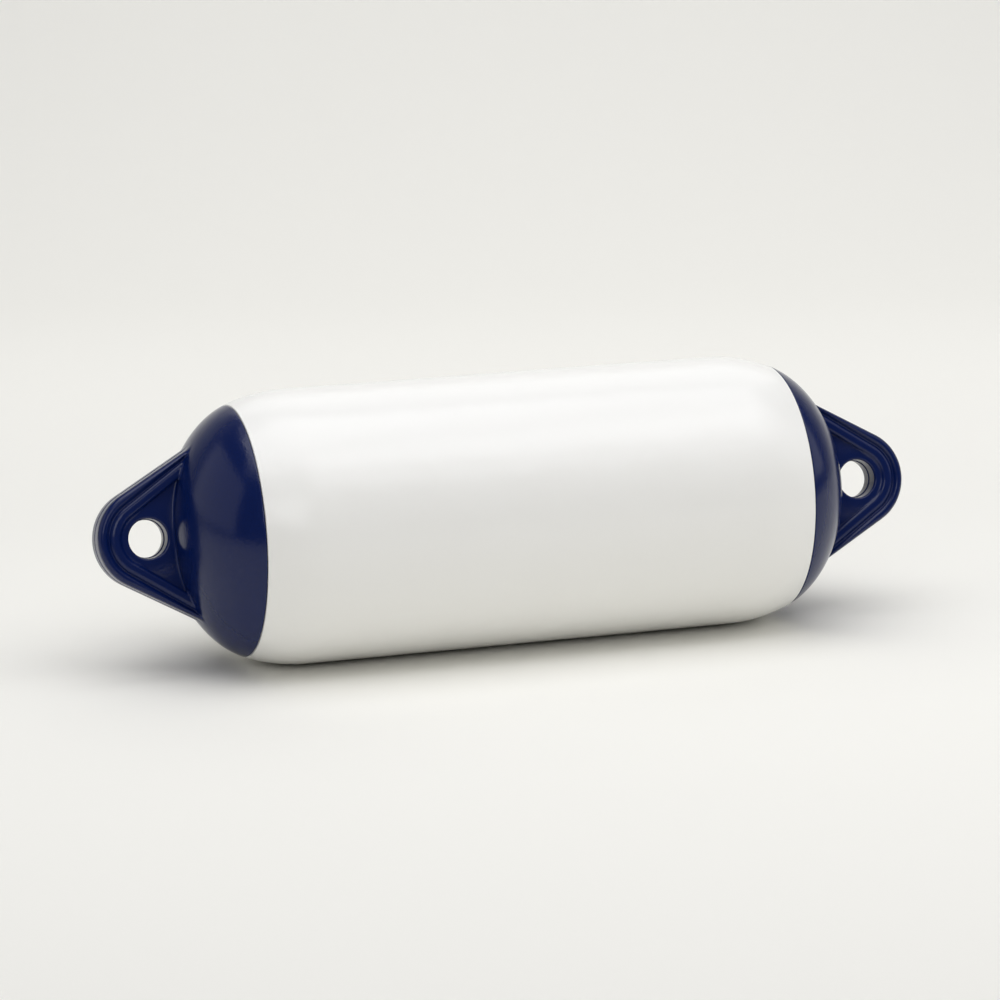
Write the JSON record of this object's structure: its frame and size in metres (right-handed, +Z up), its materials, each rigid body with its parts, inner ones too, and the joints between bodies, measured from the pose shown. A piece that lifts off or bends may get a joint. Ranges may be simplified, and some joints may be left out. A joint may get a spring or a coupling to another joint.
{
  "type": "boat fender",
  "caption": "Cylindrical inflatable boat fender: white vinyl body, navy moulded ends with rope eyes, lying on its side.",
  "frame": {"origin": "centre of the object's footprint on the surface it lies on, under the middle of the body", "axes": "+X along the body towards the end with the valve, +Z up, so the rope eyes' broad faces look towards -Y and +Y"},
  "size_m": [0.6212, 0.2, 0.1993],
  "materials": {
    "white_vinyl": "glossy white vinyl",
    "navy_vinyl": "semi-gloss moulded navy vinyl",
    "valve_rubber": "matt black rubber",
    "valve_plastic": "satin white plastic"
  },
  "bodies": {
    "root": {"fender_body": "white_vinyl", "left_rope_end": "navy_vinyl", "right_rope_end": "navy_vinyl", "valve_seat": "valve_rubber", "valve_screw": "valve_plastic"}
  },
  "joints": []
}
